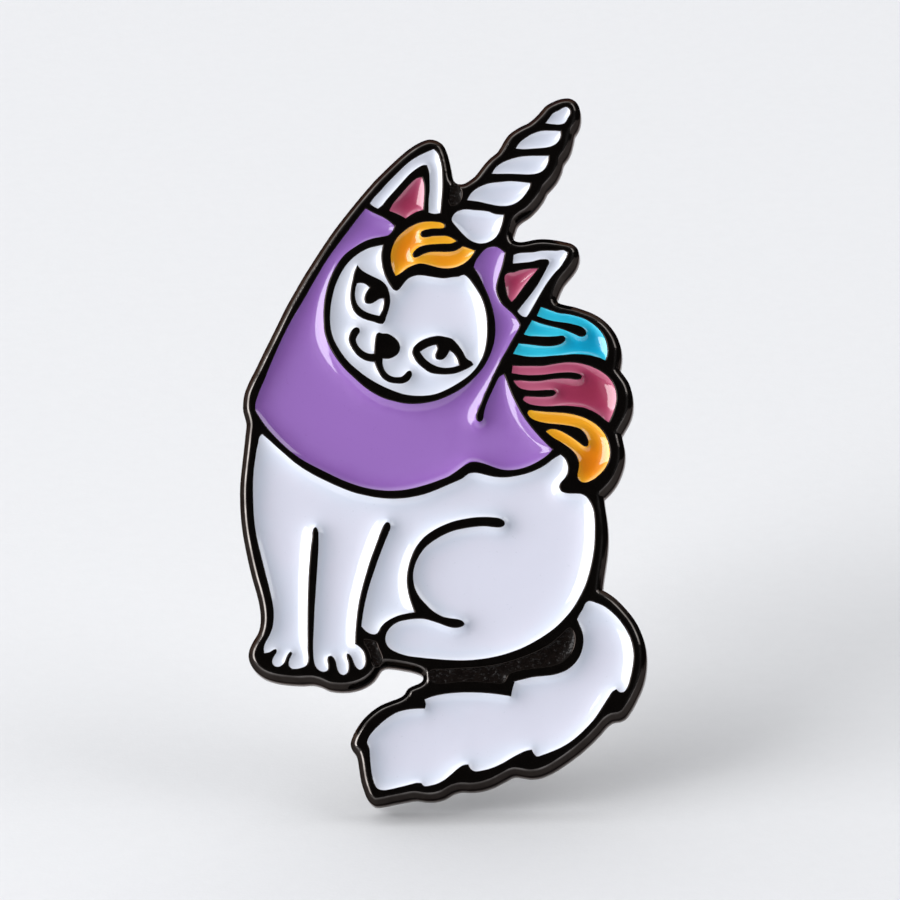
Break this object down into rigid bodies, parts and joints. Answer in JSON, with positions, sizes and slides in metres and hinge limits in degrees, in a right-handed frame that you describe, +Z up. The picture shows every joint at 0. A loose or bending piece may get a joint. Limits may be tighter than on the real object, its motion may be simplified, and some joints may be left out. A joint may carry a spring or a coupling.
{
  "type": "enamel pin",
  "caption": "Soft-enamel lapel pin shaped as a seated cat in a horned hood, with back posts held by butterfly clutches.",
  "frame": {"origin": "on the flat back of the plate, halfway between the two posts", "axes": "+Z up the pin as worn, -Y out of its decorated face, +Y out of its back along the posts, +X to the viewer's right"},
  "size_m": [0.0204, 0.0096, 0.0358],
  "materials": {
    "black_plating": "glossy black plating on a struck plate",
    "enamel_white": "glossy baked soft enamel, hollow between the lines",
    "enamel_pink": "glossy baked soft enamel",
    "enamel_orange": "glossy baked soft enamel",
    "enamel_teal": "glossy baked soft enamel",
    "enamel_purple": "glossy baked soft enamel",
    "enamel_black": "glossy uneven black paint",
    "post_steel": "drawn steel",
    "solder": "dull tin solder",
    "nickel": "bright nickel-plated pressed sheet",
    "spring_nickel": "bright nickel-plated spring strip"
  },
  "bodies": {
    "pin": {"base_plate": "black_plating", "enamel_ear_left": "enamel_white", "enamel_ear_left_inner": "enamel_pink", "enamel_ear_right": "enamel_white", "enamel_ear_right_inner": "enamel_pink", "enamel_horn_1": "enamel_white", "enamel_horn_2": "enamel_white", "enamel_horn_3": "enamel_white", "enamel_horn_4": "enamel_white", "enamel_horn_5": "enamel_white", "enamel_hood": "enamel_purple", "enamel_face": "enamel_white", "enamel_eye_left": "enamel_white", "enamel_eye_right": "enamel_white", "enamel_forelock": "enamel_orange", "enamel_mane_teal": "enamel_teal", "enamel_mane_pink": "enamel_pink", "enamel_mane_orange": "enamel_orange", "enamel_body": "enamel_white", "enamel_tail": "enamel_white", "enamel_web_ear": "enamel_black", "enamel_web_paw": "enamel_black", "enamel_web_tail": "enamel_black", "post_upper": "post_steel", "post_lower": "post_steel", "solder_upper": "solder", "solder_lower": "solder"},
    "upper_clutch": {"upper_cup": "nickel", "upper_cover": "nickel"},
    "upper_wing_left": {"upper_wing_left": "spring_nickel"},
    "upper_wing_right": {"upper_wing_right": "spring_nickel"},
    "lower_clutch": {"lower_cup": "nickel", "lower_cover": "nickel"},
    "lower_wing_left": {"lower_wing_left": "spring_nickel"},
    "lower_wing_right": {"lower_wing_right": "spring_nickel"}
  },
  "joints": [
    {"name": "upper_clutch_slide", "type": "slide", "parent": "pin", "child": "upper_clutch", "axis": [0, 1, 0], "range_m": [-0.0016, 0.0062]},
    {"name": "upper_wing_left_pinch", "type": "hinge", "parent": "upper_clutch", "child": "upper_wing_left", "pos_m": [-0.00385, 0.0038, 0.0059], "axis": [0, 0, -1], "range_deg": [0, 9], "stiffness_Nm_per_rad": 0.002},
    {"name": "upper_wing_right_pinch", "type": "hinge", "parent": "upper_clutch", "child": "upper_wing_right", "pos_m": [0.00135, 0.0038, 0.0059], "axis": [0, 0, 1], "range_deg": [0, 9], "stiffness_Nm_per_rad": 0.002},
    {"name": "lower_clutch_slide", "type": "slide", "parent": "pin", "child": "lower_clutch", "axis": [0, 1, 0], "range_m": [-0.0016, 0.0062]},
    {"name": "lower_wing_left_pinch", "type": "hinge", "parent": "lower_clutch", "child": "lower_wing_left", "pos_m": [-0.00135, 0.0038, -0.0059], "axis": [0, 0, -1], "range_deg": [0, 9], "stiffness_Nm_per_rad": 0.002},
    {"name": "lower_wing_right_pinch", "type": "hinge", "parent": "lower_clutch", "child": "lower_wing_right", "pos_m": [0.00385, 0.0038, -0.0059], "axis": [0, 0, 1], "range_deg": [0, 9], "stiffness_Nm_per_rad": 0.002}
  ],
  "couplings": [
    {"joint": "upper_wing_right_pinch", "follows": "upper_wing_left_pinch", "ratio": 1},
    {"joint": "lower_wing_right_pinch", "follows": "lower_wing_left_pinch", "ratio": 1}
  ]
}
